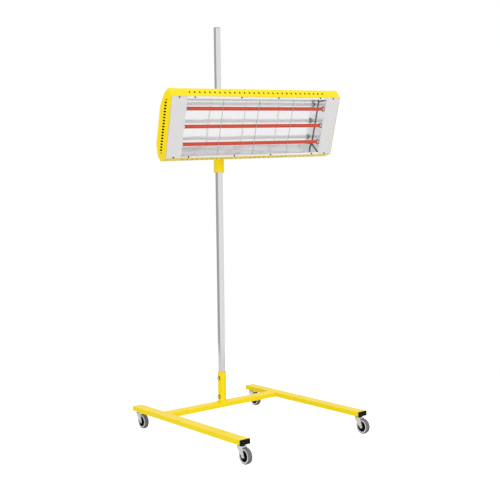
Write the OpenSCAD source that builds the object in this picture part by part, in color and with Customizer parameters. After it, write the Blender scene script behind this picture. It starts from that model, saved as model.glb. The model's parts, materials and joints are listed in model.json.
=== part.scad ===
// Infrared curing lamp on a wheeled stand, millimetres, +Z up.
// The origin is on the floor under the mast. The legs and the lamp face point to -Y.

/* [Base frame] */
// Length of each leg, with its end caps
leg_len = 895; // [760:5:1100]
// Distance between the middle lines of the two legs
leg_track = 768; // [500:2:1000]
// Reach of the legs in front of the mast axis
leg_reach = 660; // [560:5:720]
// Width of the flat base tube
tube_w = 60; // [50:1:80]
// Height of the flat base tube
tube_h = 25; // [25:1:40]
// Wall of the base tube
tube_wall = 2; // [1.5:0.5:3]
// Outer corner radius of the base tube
tube_corner = 3; // [2.5:0.5:5]
// Thickness of the end cap's outer plate
cap_plate = 3; // [2:0.5:5]
// Depth of the end cap's plug inside the tube
cap_plug = 12; // [8:1:14]

/* [Casters] */
// Diameter of the caster wheel
wheel_d = 75; // [60:1:76]
// Width of the tyre
tyre_w = 24; // [18:1:30]
// Radial thickness of the tyre
tyre_t = 10.5; // [6:0.5:14]
// Height of the legs' underside above the floor
ride_h = 87; // [85:1:110]
// Distance of the swivel axis from the leg's end
caster_inset = 26; // [24:1:60]
// Trail of the wheel behind its swivel axis
caster_trail = 28; // [20:1:34]
// Thickness of the fork sheet
fork_t = 2.5; // [2:0.5:4]
// Radius of the fork crown
crown_r = 19; // [17:0.5:22]
// Radius of the swivel bearing cup
cup_r = 16; // [13:0.5:18]
// Height of the swivel bearing cup
cup_h = 6; // [4:0.5:7]
// Radius of the threaded stem
stem_r = 5; // [4:0.5:6]
// Radius of the wheel axle
axle_r = 4; // [3:0.5:5]
// Radius of the fork cheek's round end
cheek_r = 9; // [7:0.5:11]

/* [Mast] */
// Outer diameter of the mast tube
mast_d = 38; // [30:0.5:40]
// Wall of the mast tube
mast_wall = 2; // [1.5:0.5:4]
// Height of the mast's top end above the floor
mast_top = 2089; // [2070:1:2400]
// Wall of the socket that holds the mast
socket_wall = 3.3; // [2:0.1:4]
// Length of the mast socket
socket_len = 162; // [120:1:220]
// Height of the lower set bolt above the crossbar
bolt_low = 29; // [20:1:45]
// Height of the upper set bolt above the crossbar
bolt_high = 129; // [75:1:140]
// Width across flats of the set bolt heads
bolt_af = 17; // [13:1:19]
// Height of the set bolt heads
bolt_head = 6.4; // [5:0.1:8]

/* [Carriage] */
// Outer diameter of the sleeve round the mast
sleeve_d = 54; // [52:0.5:64]
// Wall of the sleeve
sleeve_wall = 3; // [2:0.5:4]
// Length of the sleeve
sleeve_len = 316; // [290:1:340]
// Height of the sleeve's lower end above the floor
sleeve_z = 1334; // [1200:1:1400]
// Length of each slide bush
bush_len = 60; // [40:1:70]
// Height of the arm's axis above the sleeve's lower end
arm_rise = 254; // [160:1:270]
// Outer diameter of the arm tube
arm_d = 32; // [30:0.5:36]
// Distance from the mast axis to the tilt axis
arm_reach = 253.5; // [240:0.5:320]
// Diameter of the yoke's spigot in the arm
spigot_d = 24; // [20:0.5:26]
// Length of the spigot inside the arm
spigot_len = 94; // [70:1:110]
// Thickness of the gusset under the arm
gusset_t = 6; // [4:1:8]
// Height of the gusset
gusset_h = 70; // [40:1:90]

/* [Yoke] */
// Distance from the tilt axis to the yoke's web
web_gap = 34; // [33:1:42]
// Thickness of the web and the ears
yoke_t = 6; // [4:0.5:8]
// Radius of the ears' round ends
ear_r = 15; // [12:0.5:18]
// Distance from the back cover to the tilt axis
pivot_gap = 35; // [34:1:44]
// Distance between the outer faces of the head's two lugs
lug_span = 100; // [80:1:140]
// Thickness of the lugs
lug_t = 5; // [4:0.5:8]
// Radius of the pivot bolts and knob studs
pivot_r = 5; // [4:0.5:6]

/* [Knobs] */
// Radius of the lock knobs over the lobes
knob_r = 26; // [22:1:30]
// Thickness of the lock knobs
knob_h = 16; // [12:1:22]
// Radius of each knob lobe
lobe_r = 7; // [5:0.5:8]
// Radius of the bosses that the knob studs screw into
boss_r = 11; // [9:0.5:12]
// Height of the bosses
boss_h = 10; // [8:1:14]

/* [Pose] */
// Turn of the head about the mast, seen from above
head_yaw = -8.5; // [-20:0.5:20]
// Turn of the head about the arm, right end up
head_roll = 2.6; // [-10:0.1:10]
// Tilt of the lamp face towards the floor
head_tilt = 20.5; // [0:0.5:40]

/* [Head case] */
// Width of the head's front frame
frame_w = 955; // [900:1:1100]
// Height of the head's front frame
frame_h = 300; // [290:1:340]
// How far each end skirt flares out
end_flare = 33; // [24:1:38]
// How far the top and the bottom skirt flare out
long_flare = 25; // [18:1:30]
// Depth of the flared skirt
skirt_depth = 42; // [36:1:50]
// Depth of the back cover behind the rim
back_depth = 58; // [52:1:80]
// How far the back cover's ends draw in
back_end_taper = 60; // [45:1:80]
// How far the back cover's top and bottom draw in
back_long_taper = 68; // [50:1:76]
// Thickness of the case sheet
sheet = 1.2; // [1:0.1:1.5]
// Length along the rim of the corner cut
corner_x = 30; // [20:1:38]
// Height of the corner cut at each rim end
corner_z = 82; // [60:1:100]
// Width of the grey panel at each end
panel_w = 81.5; // [70:0.5:100]
// Height of the reflector's flanges
flange_h = 12; // [10:0.5:18]
// Thickness of the front panels
panel_t = 1; // [0.8:0.1:1.2]

/* [Vent slots] */
// Number of slots in the top and in the bottom skirt
long_slots = 29; // [11:2:31]
// Row of slots in a long skirt, as a share of the frame's width
long_row_share = 0.7916; // [0.6:0.01:0.82]
// Number of slots in each end skirt
end_slots = 19; // [7:2:19]
// Row of slots in an end skirt, as a share of the frame's height
end_row_share = 0.846; // [0.6:0.01:0.86]
// Length of each slot
slot_len = 12.5; // [10:0.5:20]
// Width of each slot
slot_w = 8; // [4:0.5:9]

/* [Reflector and lamps] */
// Depth of the reflector behind the front plane
reflector_depth = 64; // [50:1:70]
// How far each long wall of the reflector leans in
reflector_lean = 26; // [15:1:34]
// Thickness of the reflector sheet
reflector_t = 1; // [0.8:0.1:1.5]
// Outer diameter of the lamp tubes
lamp_d = 18; // [12:0.5:20]
// Distance between the lamp axes, as a share of the opening's height
lamp_share = 0.3116; // [0.25:0.01:0.32]
// Depth of the lamp axes behind the front plane
lamp_depth = 17; // [16:0.5:30]
// Radius of the lamp holes in the reflector's end plates
lamp_hole_r = 14; // [11:0.5:14.5]
// Length of the ceramic lamp holders
holder_len = 40; // [30:1:46]
// Height and depth of the ceramic lamp holders
holder_w = 31; // [30:0.5:31.5]
// How far each ceramic lamp end shows inside the reflector
cap_show = 9; // [4:1:12]
// Length of the ceramic lamp ends
lamp_cap_len = 44; // [36:1:45]
// Diameter of the guard wires
wire_d = 3; // [2:0.5:3.5]
// Distance between the guard wires, as a share of the opening's width
wire_share = 0.2525; // [0.2:0.01:0.3]
// Radius of the front screw heads
screw_r = 3.2; // [2.5:0.1:4]

/* [Back fittings] */
// Distance of the switch from the middle of the back
switch_x = 210; // [120:5:260]
// Width of the switch bezel
switch_w = 21; // [18:1:30]
// Height of the switch bezel
switch_h = 28; // [26:1:40]
// Distance of the cable gland from the middle of the back
gland_x = -210; // [-260:5:-120]
// Bore of the cable gland
gland_bore = 10; // [8:0.5:12]
// Width across flats of the gland
gland_af = 24; // [20:1:30]

/* [Fits] */
// Radial clearance of running fits
run_fit = 0.05; // [0.02:0.01:0.09]
// Gap between parts that slide or lie close
close_gap = 0.3; // [0.2:0.05:0.4]

/* [Hidden] */

$fn = 64;

// Overrun of every cut past the face that it opens
over = 1;
// Thickness of the slices that a hull joins
slice = 0.01;

// Base frame
leg_front_y = -leg_reach;
leg_rear_y = leg_len - leg_reach;
deck_z = ride_h + tube_h;
axle_z = wheel_d / 2;

// Swivel axes of the casters, as left or right and front or rear
swivel_x = leg_track / 2;
swivel_front_y = leg_front_y + caster_inset;
swivel_rear_y = leg_rear_y - caster_inset;
cup_z = ride_h - cup_h;
crown_z = cup_z - close_gap - fork_t;
stem_head_r = stem_r * 1.5;
stem_head_h = stem_r * 0.7;
nut_h = stem_r * 1.6;
nut_af = stem_r * 3.4;
cheek_in = tyre_w / 2 + 5 * close_gap;
cheek_out = cheek_in + fork_t;
axle_head_h = axle_r;
axle_head_r = axle_r * 1.6;
hub_r = wheel_d / 2 - tyre_t;
hub_w = tyre_w * 0.85;
hub_boss_r = axle_r * 2.4;

// Mast
socket_bore = mast_d / 2 + run_fit;
socket_r = socket_bore + socket_wall;
mast_cap_flange = mast_wall * 1.5;
mast_cap_plug = mast_d * 0.6;
socket_bolt_r = bolt_af * 0.3;

// Carriage, in a frame that turns about the mast
arm_z = sleeve_z + arm_rise;
bush_r = sleeve_d / 2 - sleeve_wall - run_fit;
bush_bore = mast_d / 2 + run_fit;
web_front = web_gap;
web_back = web_gap + yoke_t;
arm_end_y = -(arm_reach - web_back - close_gap);
roll_knob_y = arm_end_y + boss_r + 3 * yoke_t;
spigot_groove_d = spigot_d * 5 / 6;
groove_w = 2 * pivot_r + 4 * close_gap;
stud_tip = spigot_groove_d / 2 + close_gap;
upper_bush_z = sleeve_z + sleeve_len - bush_len;
height_knob_z = upper_bush_z + bush_len / 2;

// Head, in a frame with x along the lamps, y backwards from the front plane and z up the face
rim_w = frame_w + 2 * end_flare;
rim_h = frame_h + 2 * long_flare;
back_w = rim_w - 2 * back_end_taper;
back_h = rim_h - 2 * back_long_taper;
opening_w = frame_w - 2 * panel_w;
opening_h = frame_h - 2 * flange_h;
back_y = skirt_depth + back_depth;
bracket_t = lug_t * 0.6;
pivot_depth = back_y + pivot_gap;
lug_r = ear_r - close_gap * 3;
lug_in = lug_span / 2 - lug_t;
ear_in = lug_span / 2 + close_gap;
ear_out = ear_in + yoke_t;

// Outline of the rim's corner, as shares of the corner cut
corner_shares = [[1, 0], [0.48, 0.31], [0, 1]];
lip_in = opening_h / 2 + reflector_t + close_gap;
long_pitch = frame_w * long_row_share / (long_slots - 1);
end_pitch = frame_h * end_row_share / (end_slots - 1);
// Sheet thickness measured along the front plane, on the steeper walls
skin = sheet * norm([skirt_depth, end_flare]) / skirt_depth;
panel_edge = skin + close_gap;
screw_z = (opening_h + frame_h) / 4;
screw_shank = screw_r * 0.5;
screw_hole = screw_shank + close_gap / 2;
screw_h = screw_r * 0.6;
end_screw_x = (opening_w + frame_w) / 4;
// Places of the reflector's screws, as shares of half the opening
screw_x_shares = [-0.9, -0.265, 0.265, 0.9];

// Reflector and lamps
reflector_back_h = opening_h - 2 * reflector_lean;
lamp_pitch = opening_h * lamp_share;
wire_pitch = opening_w * wire_share;
wall_run = norm([reflector_depth, reflector_lean]);
wall_ny = reflector_lean / wall_run;
wall_nz = reflector_depth / wall_run;
end_plate_x = opening_w / 2;
holder_x = end_plate_x + reflector_t;
glass_len = opening_w - 2 * cap_show;
lamp_zs = [lamp_pitch, 0, -lamp_pitch];
wire_y = wire_d / 2 + panel_t + sheet + close_gap;
wire_len = opening_h + 2 * wire_d;

// Back fittings
switch_plate = 2 * sheet;
rocker_r = switch_w * 0.38;
rocker_w = switch_w * 0.62;
rocker_gap = close_gap * 1.5;
rocker_rest = 8;
rocker_y = back_y + switch_plate * 0.4;
housing_depth = rocker_r + 3 * sheet;
gland_hex_h = gland_af * 0.25;
gland_dome_h = gland_af * 0.6;
gland_tail = gland_af * 0.5;
block_len = gland_af * 2.5;
block_h = gland_af * 0.75;
block_x = gland_x + gland_af * 2.5;

// Rounded rectangle centred on the origin
module round_rect(w, h, r) {
    square([w - 2 * r, h], center = true);
    square([w, h - 2 * r], center = true);
    for (sx = [-1, 1], sz = [-1, 1])
        translate([sx * (w / 2 - r), sz * (h / 2 - r)]) circle(r);
}

// Tube section with round corners
module tube_section(w, h, wall, r) {
    difference() {
        round_rect(w, h, r);
        square([w - 2 * wall, h - 2 * wall], center = true);
    }
}

// A flat shape drawn in x and z, extruded backwards along y from y0
module along_y(y0, t) {
    translate([0, y0 + t, 0]) rotate([90, 0, 0]) linear_extrude(t) children();
}

// A flat shape drawn in y and z, extruded along x from x0
module along_x(x0, t) {
    translate([x0, 0, 0]) rotate([90, 0, 90]) linear_extrude(t) children();
}

// A round bar along x from x0
module bar_x(x0, len, r) {
    translate([x0, 0, 0]) rotate([0, 90, 0]) cylinder(r = r, h = len);
}

// A round bar along y from y0
module bar_y(y0, len, r) {
    translate([0, y0, 0]) rotate([-90, 0, 0]) cylinder(r = r, h = len);
}

// Hexagon with flats this far apart
module hex(af) {
    circle(r = af / sqrt(3), $fn = 6);
}

module head_swing() {
    rotate([0, 0, head_yaw]) children();
}

module yoke_place() {
    head_swing() translate([0, -arm_reach, arm_z]) rotate([0, -head_roll, 0]) children();
}

module head_place() {
    yoke_place() rotate([head_tilt, 0, 0]) translate([0, -pivot_depth, 0]) children();
}

// A leg is one flat tube, drilled underneath for its two caster stems
module leg(side) {
    color("gold") difference() {
        translate([side * swivel_x, 0, ride_h + tube_h / 2])
            along_y(leg_front_y + cap_plate, leg_len - 2 * cap_plate)
                tube_section(tube_w, tube_h, tube_wall, tube_corner);
        for (y = [swivel_front_y, swivel_rear_y])
            translate([side * swivel_x, y, ride_h - over])
                cylinder(r = stem_r + run_fit, h = tube_wall + 2 * over);
    }
}

module left_leg() {
    leg(-1);
}

module right_leg() {
    leg(1);
}

module crossbar() {
    len = leg_track - tube_w;
    color("gold") translate([0, 0, ride_h + tube_h / 2])
        along_x(-len / 2, len) tube_section(tube_w, tube_h, tube_wall, tube_corner);
}

// A cap is a plate over the tube's end with a hollow plug inside it; face is -1 in front
module leg_cap(side, face) {
    end_y = face < 0 ? leg_front_y : leg_rear_y;
    plug_w = tube_w - 2 * tube_wall - 2 * close_gap;
    plug_h = tube_h - 2 * tube_wall - 2 * close_gap;
    color("black") translate([side * swivel_x, end_y, ride_h + tube_h / 2])
        mirror([0, face < 0 ? 0 : 1, 0]) {
            along_y(0, cap_plate) round_rect(tube_w, tube_h, tube_corner);
            along_y(cap_plate, cap_plug - cap_plate) difference() {
                square([plug_w, plug_h], center = true);
                square([plug_w - 2 * tube_wall, plug_h - 2 * tube_wall], center = true);
            }
        }
}

module mast_socket() {
    color("gold") translate([0, 0, deck_z]) difference() {
        cylinder(r = socket_r, h = socket_len);
        translate([0, 0, -over]) cylinder(r = socket_bore, h = socket_len + 2 * over);
        for (z = [bolt_low, bolt_high])
            translate([0, 0, z]) bar_x(-2 * socket_r, 2 * socket_r, socket_bolt_r + run_fit);
    }
}

module mast() {
    color("silver") translate([0, 0, deck_z]) difference() {
        cylinder(r = mast_d / 2, h = mast_top - mast_cap_flange - deck_z);
        translate([0, 0, -over])
            cylinder(r = mast_d / 2 - mast_wall, h = mast_top - deck_z + 2 * over);
    }
}

module mast_cap() {
    color("gray") translate([0, 0, mast_top - mast_cap_flange]) {
        cylinder(r = mast_d / 2, h = mast_cap_flange);
        translate([0, 0, -mast_cap_plug])
            cylinder(r = mast_d / 2 - mast_wall - run_fit, h = mast_cap_plug + mast_cap_flange / 2);
    }
}

// Two hex bolts through the socket's left wall press on the mast
module socket_bolts() {
    color("silver") for (z = [bolt_low, bolt_high]) translate([0, 0, deck_z + z]) {
        bar_x(-socket_r - bolt_head / 2, socket_r + bolt_head / 2 - mast_d / 2, socket_bolt_r);
        along_x(-socket_r - bolt_head, bolt_head) rotate(30) hex(bolt_af);
    }
}

// Stem of a caster: a head under the fork crown, the shank and a nut inside the leg
module caster_stem() {
    translate([0, 0, crown_z - close_gap - stem_head_h]) cylinder(r = stem_head_r, h = stem_head_h);
    translate([0, 0, crown_z - close_gap])
        cylinder(r = stem_r, h = ride_h + tube_wall + nut_h + close_gap - crown_z);
    translate([0, 0, ride_h + tube_wall]) linear_extrude(nut_h) hex(nut_af);
}

// Puts a piece at each of the four swivel axes
module at_casters() {
    for (sx = [-1, 1], y = [swivel_front_y, swivel_rear_y]) translate([sx * swivel_x, y, 0]) children();
}

module caster_stems() {
    color("silver") at_casters() caster_stem();
}

module swivel_cups() {
    color("dimgray") at_casters() translate([0, 0, cup_z]) difference() {
        union() {
            cylinder(r = cup_r, h = cup_h / 2);
            translate([0, 0, cup_h / 2]) cylinder(r1 = cup_r, r2 = cup_r * 0.8, h = cup_h / 2);
        }
        translate([0, 0, -over]) cylinder(r = stem_r + run_fit, h = cup_h + 2 * over);
    }
}

// Side outline of a fork cheek, in y and z from the swivel axis at the floor
module cheek_outline() {
    top = crown_z + fork_t;
    polygon([[crown_r * 0.8, top], [-crown_r, top], [-caster_trail - cheek_r * 0.98, axle_z + cheek_r * 0.2],
             [-caster_trail + cheek_r * 0.5, axle_z - cheek_r * 0.86], [crown_r * 0.8, crown_z - cheek_r]]);
    translate([-caster_trail, axle_z]) circle(cheek_r);
}

// Fork of one caster: a round crown, a folded top and two cheeks
module fork(sx, y) {
    color("whitesmoke") translate([sx * swivel_x, y, 0]) difference() {
        union() {
            translate([0, 0, crown_z]) cylinder(r = crown_r, h = fork_t);
            for (side = [-1, 1])
                along_x(side < 0 ? -cheek_out : cheek_in, fork_t) cheek_outline();
            translate([-cheek_out, -crown_r, crown_z]) cube([2 * cheek_out, crown_r * 1.8, fork_t]);
        }
        translate([0, 0, crown_z - over]) cylinder(r = stem_r + run_fit, h = fork_t + 2 * over);
        translate([0, -caster_trail, axle_z])
            bar_x(-cheek_out - over, 2 * (cheek_out + over), axle_r + run_fit);
    }
}

// Axle bolt with a round head on the left and a nut on the right
module axle(sx, y) {
    color("silver") translate([sx * swivel_x, y - caster_trail, axle_z]) {
        bar_x(-cheek_out - axle_head_h, 2 * cheek_out + axle_head_h + axle_r, axle_r);
        bar_x(-cheek_out - axle_head_h, axle_head_h, axle_head_r);
        along_x(cheek_out, axle_head_h) hex(axle_head_r * 2);
    }
}

// Hub: a dished plastic disc with a rim and a bored boss, turned about the axle
module hub(sx, y) {
    web = hub_w * 0.3;
    rim = hub_r * 0.14;
    color("black") translate([sx * swivel_x, y - caster_trail, axle_z]) rotate([0, 90, 0])
        rotate_extrude() {
            translate([axle_r + run_fit, -cheek_in + close_gap])
                square([hub_boss_r - axle_r, 2 * (cheek_in - close_gap)]);
            translate([axle_r * 1.5, -web / 2]) square([hub_r - axle_r * 1.5, web]);
            translate([hub_r - rim, -hub_w / 2]) square([rim, hub_w]);
        }
}

// Tyre: a ring with rounded shoulders on the hub's rim
module tyre(sx, y) {
    shoulder = tyre_t * 0.45;
    color("darkgray") translate([sx * swivel_x, y - caster_trail, axle_z]) rotate([0, 90, 0])
        rotate_extrude() {
            translate([hub_r, -tyre_w / 2]) square([tyre_t - shoulder, tyre_w]);
            translate([hub_r, -tyre_w / 2 + shoulder]) square([tyre_t, tyre_w - 2 * shoulder]);
            for (s = [-1, 1])
                translate([wheel_d / 2 - shoulder, s * (tyre_w / 2 - shoulder)]) circle(shoulder);
        }
}

// A bush turns inside the sleeve and slides on the mast
module bush(z) {
    color("white") translate([0, 0, z]) difference() {
        cylinder(r = bush_r, h = bush_len);
        translate([0, 0, -over]) cylinder(r = bush_bore, h = bush_len + 2 * over);
    }
}

module lower_bush() {
    bush(sleeve_z + sheet);
}

module upper_bush() {
    bush(upper_bush_z - sheet);
}

module sleeve() {
    color("gold") head_swing() difference() {
        union() {
            translate([0, 0, sleeve_z]) cylinder(r = sleeve_d / 2, h = sleeve_len);
            translate([0, 0, height_knob_z]) bar_y(0, sleeve_d / 2 + boss_h, boss_r);
        }
        translate([0, 0, sleeve_z - over])
            cylinder(r = sleeve_d / 2 - sleeve_wall, h = sleeve_len + 2 * over);
        translate([0, 0, height_knob_z]) bar_y(0, sleeve_d + boss_h, pivot_r + run_fit);
    }
}

// Arm: a tube welded to the sleeve, open in front for the spigot, with a gusset under it
module arm() {
    gusset_y = sleeve_d / 2 + gusset_h;
    color("gold") head_swing() difference() {
        union() {
            translate([0, 0, arm_z]) bar_y(arm_end_y, -arm_end_y, arm_d / 2);
            translate([0, roll_knob_y, arm_z]) cylinder(r = boss_r, h = arm_d / 2 + boss_h);
            along_x(-gusset_t / 2, gusset_t)
                polygon([[0, arm_z], [-gusset_y, arm_z], [-gusset_y, arm_z - arm_d / 2],
                         [-sleeve_d / 2, arm_z - arm_d / 2 - gusset_h], [0, arm_z - arm_d / 2 - gusset_h]]);
        }
        translate([0, 0, arm_z]) bar_y(arm_end_y - over, spigot_len + 2 * over, spigot_d / 2 + run_fit);
        translate([0, 0, sleeve_z]) cylinder(r = sleeve_d / 2, h = sleeve_len);
        translate([0, roll_knob_y, arm_z]) cylinder(r = pivot_r + run_fit, h = arm_d + boss_h);
    }
}

// Outline of a star knob's grip
module knob_outline() {
    circle(knob_r - lobe_r * 0.8);
    for (i = [0:4]) rotate(i * 72) translate([knob_r - lobe_r, 0]) circle(lobe_r);
}

// Star knob with its stud pointing down to the tip's height; seat is the height of its underside
module knob(seat, tip) {
    neck = knob_h * 0.3;
    translate([0, 0, seat + neck]) linear_extrude(knob_h - neck) knob_outline();
    translate([0, 0, seat]) cylinder(r = boss_r, h = neck + over);
    translate([0, 0, tip]) cylinder(r = pivot_r, h = seat - tip + over);
}

module height_knob() {
    tip = bush_r + close_gap;
    seat = sleeve_d / 2 + boss_h + close_gap;
    color("black") head_swing() translate([0, 0, height_knob_z]) rotate([-90, 0, 0]) knob(seat, tip);
}

module roll_knob() {
    color("black") head_swing() translate([0, roll_knob_y, arm_z])
        knob(arm_d / 2 + boss_h + close_gap, stud_tip);
}

// Yoke: two ears on a web, and a grooved spigot that turns in the arm
module yoke() {
    color("gold") yoke_place() difference() {
        union() {
            for (side = [-1, 1])
                along_x(side < 0 ? -ear_out : ear_in, yoke_t) {
                    circle(ear_r);
                    translate([0, -ear_r]) square([web_back, 2 * ear_r]);
                }
            translate([-ear_out, web_front, -ear_r]) cube([2 * ear_out, yoke_t, 2 * ear_r]);
            bar_y(web_back, spigot_len, spigot_d / 2);
        }
        bar_x(-ear_out - over, 2 * (ear_out + over), pivot_r + run_fit);
        translate([0, arm_reach + roll_knob_y, 0]) rotate([90, 0, 0]) difference() {
            cylinder(r = spigot_d, h = groove_w, center = true);
            cylinder(r = spigot_groove_d / 2, h = groove_w + over, center = true);
        }
    }
}

module tilt_knob() {
    color("black") yoke_place() rotate([0, 90, 0]) knob(ear_out + close_gap, lug_in - lug_t);
}

// Left pivot bolt: a hex head outside the ear and a nut inside the lug
module pivot_bolt() {
    head_h = pivot_r * 1.2;
    color("silver") head_place() translate([0, pivot_depth, 0]) {
        bar_x(-ear_out - close_gap, ear_out + close_gap - lug_in + head_h, pivot_r);
        along_x(-ear_out - close_gap - head_h, head_h) hex(pivot_r * 3.4);
        along_x(-lug_in, head_h) hex(pivot_r * 3.4);
    }
}

// Bracket on the back cover with the two lugs that the yoke's ears hold
module pivot_bracket() {
    color("gold") head_place() difference() {
        union() {
            along_y(back_y, bracket_t) round_rect(lug_span + 4 * lug_t, 4 * lug_r, lug_t);
            for (side = [-1, 1])
                along_x(side < 0 ? -lug_in - lug_t : lug_in, lug_t) {
                    translate([back_y, -lug_r]) square([pivot_depth - back_y, 2 * lug_r]);
                    translate([pivot_depth, 0]) circle(lug_r);
                }
        }
        translate([0, pivot_depth, 0]) bar_x(-lug_span, 2 * lug_span, pivot_r + run_fit);
    }
}

// Outline of the rim in x and z, cut in at its corners, and drawn in by an inset
function rim_outline(inset) = [
    for (q = [0:3], i = [0:2])
        let (k = (q == 0 || q == 2) ? i : 2 - i,
             sx = (q == 0 || q == 3) ? 1 : -1,
             sz = q < 2 ? 1 : -1)
        [sx * (rim_w / 2 - inset - corner_shares[2 - k][0] * corner_x),
         sz * (rim_h / 2 - inset - corner_shares[2 - k][1] * corner_z)]
];

// Solid of the flared skirt, drawn in by an inset and carried past its ends
module skirt_solid(inset, past) {
    hull() {
        along_y(-past, slice + past) square([frame_w - 2 * inset, frame_h - 2 * inset], center = true);
        along_y(skirt_depth - slice, slice) polygon(rim_outline(inset));
        along_y(skirt_depth - slice, slice + past) polygon(rim_outline(inset));
    }
}

// The four skirts are cut from one flared shell along the lines of its corners
module skirt_shell() {
    difference() {
        skirt_solid(0, 0);
        skirt_solid(skin, over);
    }
}

// Region above the line from the front corner out to the rim's first corner point
module long_side_region() {
    fx = frame_w / 2;
    fz = frame_h / 2;
    rx = rim_w / 2 - corner_x;
    rz = rim_h / 2;
    along_y(-over, skirt_depth + 2 * over)
        polygon([[fx - (rx - fx) * 2, fz - (rz - fz) * 2], [rx + (rx - fx), rz + (rz - fz)],
                 [-rx - (rx - fx), rz + (rz - fz)], [-fx + (rx - fx) * 2, fz - (rz - fz) * 2]]);
}

// A slot along y, through a wall that lies in the x and y plane
module slot() {
    for (s = [-1, 1])
        translate([0, s * (slot_len - slot_w) / 2, 0]) cylinder(r = slot_w / 2, h = 4 * skin, center = true);
    cube([slot_w, slot_len - slot_w, 4 * skin], center = true);
}

// The top skirt with its slots and the front lip that takes the reflector's screws
module long_skirt() {
    lean = atan2(long_flare, skirt_depth);
    difference() {
        union() {
            intersection() {
                skirt_shell();
                long_side_region();
            }
            along_y(panel_t, sheet) translate([0, (lip_in + frame_h / 2) / 2])
                square([frame_w - 2 * panel_edge, frame_h / 2 - lip_in], center = true);
        }
        for (i = [0:long_slots - 1])
            translate([(i - (long_slots - 1) / 2) * long_pitch, skirt_depth / 2, (frame_h + rim_h) / 4])
                rotate([lean, 0, 0]) slot();
        long_screw_holes();
    }
}

module long_screw_holes() {
    for (x = screw_xs) translate([x, 0, screw_z]) bar_y(-over, skirt_depth, screw_hole);
}

// Places of the six screws along one long edge
screw_xs = concat([-end_screw_x], [for (s = screw_x_shares) s * opening_w / 2], [end_screw_x]);

module case_top() {
    color("gold") head_place() long_skirt();
}

module case_bottom() {
    color("gold") head_place() mirror([0, 0, 1]) long_skirt();
}

// The right end skirt: a flat slotted facet between two pairs of corner facets
module end_skirt() {
    lean = atan2(end_flare, skirt_depth);
    difference() {
        intersection() {
            skirt_shell();
            translate([0, -over, -rim_h]) cube([rim_w, skirt_depth + 2 * over, 2 * rim_h]);
        }
        long_side_region();
        mirror([0, 0, 1]) long_side_region();
        for (i = [0:end_slots - 1])
            translate([(frame_w + rim_w) / 4, skirt_depth / 2, (i - (end_slots - 1) / 2) * end_pitch])
                rotate([0, 0, -lean]) rotate([0, 90, 0]) slot();
    }
}

module case_right_end() {
    color("gold") head_place() end_skirt();
}

module case_left_end() {
    color("gold") head_place() mirror([1, 0, 0]) end_skirt();
}

// Outline of the back cover's flat back
module back_outline(inset) {
    cut = corner_x;
    x = back_w / 2 - inset;
    z = back_h / 2 - inset;
    polygon([[x, z - cut], [x - cut, z], [-x + cut, z], [-x, z - cut],
             [-x, -z + cut], [-x + cut, -z], [x - cut, -z], [x, -z + cut]]);
}

// Back cover: a tapered pan with its rim against the skirt and openings for the fittings
module back_cover() {
    color("gold") head_place() difference() {
        hull() {
            along_y(skirt_depth, slice) polygon(rim_outline(0));
            along_y(back_y - slice, slice) back_outline(0);
        }
        hull() {
            along_y(skirt_depth - over, slice + over) polygon(rim_outline(skin));
            along_y(back_y - sheet - slice, slice) back_outline(skin);
        }
        translate([gland_x, 0, 0])
            bar_y(back_y - 2 * over - sheet, sheet + 4 * over, gland_tail_r + close_gap);
        translate([switch_x, 0, 0]) along_y(back_y - 2 * over - sheet, sheet + 4 * over)
            square([switch_w - 2 * sheet + close_gap, switch_h - 4 * sheet + close_gap], center = true);
    }
}

// A grey panel over the terminal space beside the opening
module end_panel() {
    in = opening_w / 2 + close_gap;
    out = frame_w / 2 - panel_edge;
    h = frame_h - 2 * panel_edge;
    difference() {
        translate([in, 0, -h / 2]) cube([out - in, panel_t, h]);
        for (s = [-1, 1]) translate([end_screw_x, 0, s * screw_z]) bar_y(-over, 3 * over, screw_hole);
    }
}

module right_end_panel() {
    color("gainsboro") head_place() end_panel();
}

module left_end_panel() {
    color("gainsboro") head_place() mirror([1, 0, 0]) end_panel();
}

// Height of the reflector wall's outer face at a depth behind the front plane
function wall_out(y) = opening_h / 2 + (reflector_t - wall_ny * y) / wall_nz;

// Section of the reflector in y and z: flanges, sloping walls and a flat back, one sheet thick
module reflector_section() {
    t = reflector_t;
    flange = frame_h / 2 - panel_edge;
    front = opening_h / 2;
    back = reflector_back_h / 2;
    inner = [[0, flange], [0, front], [reflector_depth, back]];
    outer = [[reflector_depth + t, wall_out(reflector_depth + t)], [t, wall_out(t)], [t, flange]];
    polygon(concat(inner, [for (p = [inner[2], inner[1], inner[0]]) [p[0], -p[1]]],
                   [for (p = [outer[2], outer[1], outer[0]]) [p[0], -p[1]]], outer));
}

module reflector() {
    color("lightgray") head_place() difference() {
        along_x(-opening_w / 2, opening_w) reflector_section();
        for (x = screw_xs, s = [-1, 1])
            if (abs(x) < opening_w / 2) translate([x, 0, s * screw_z]) bar_y(-over, 3 * over, screw_hole);
        for (i = [-1:1]) translate([i * wire_pitch, wire_y, -opening_h / 2 - wire_d])
            cylinder(r = wire_d / 2 + close_gap, h = opening_h + 2 * wire_d);
    }
}

// End plate of the reflector, with a hole for each lamp
module reflector_end() {
    front = opening_h / 2;
    back = reflector_back_h / 2;
    difference() {
        along_x(end_plate_x, reflector_t)
            polygon([[panel_t, front], [reflector_depth, back], [reflector_depth, -back], [panel_t, -front]]);
        for (z = lamp_zs) translate([0, lamp_depth, z]) bar_x(end_plate_x - over, 3 * over, lamp_hole_r);
    }
}

module reflector_right_end() {
    color("lightgray") head_place() reflector_end();
}

module reflector_left_end() {
    color("lightgray") head_place() mirror([1, 0, 0]) reflector_end();
}

module lamp(z) {
    color("firebrick") head_place() translate([0, lamp_depth, z])
        bar_x(-glass_len / 2, glass_len, lamp_d / 2);
}

module lamp_top() {
    lamp(lamp_zs[0]);
}

module lamp_middle() {
    lamp(lamp_zs[1]);
}

module lamp_bottom() {
    lamp(lamp_zs[2]);
}

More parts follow.
